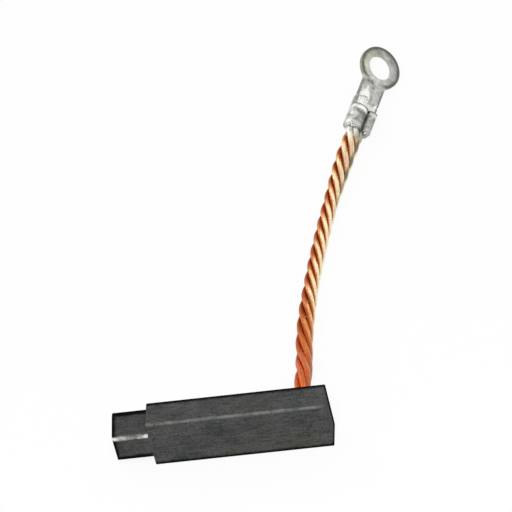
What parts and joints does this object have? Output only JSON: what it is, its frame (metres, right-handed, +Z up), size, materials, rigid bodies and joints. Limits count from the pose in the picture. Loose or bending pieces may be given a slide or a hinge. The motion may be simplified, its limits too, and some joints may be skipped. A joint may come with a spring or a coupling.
{
  "type": "carbon brush",
  "caption": "Carbon motor brush: rectangular carbon block with a stepped nose, a twisted copper pigtail out of its side and a crimped ring terminal.",
  "frame": {"origin": "under the middle of the carbon block, on the surface that its narrow lower face lies on", "axes": "+X along the block from the nose to the spring end, +Y through its thickness to the face the pigtail leaves, +Z up"},
  "size_m": [0.0594, 0.1154, 0.0125],
  "materials": {
    "carbon": "matte machined carbon graphite",
    "copper_powder": "dull tamped copper powder",
    "copper": "bright fine stranded copper",
    "tinned_copper": "satin tin plate"
  },
  "bodies": {
    "root": {"brush_block": "carbon", "tamped_fill": "copper_powder", "pigtail": "copper", "strand_end": "copper", "ring_terminal": "tinned_copper"}
  },
  "joints": []
}
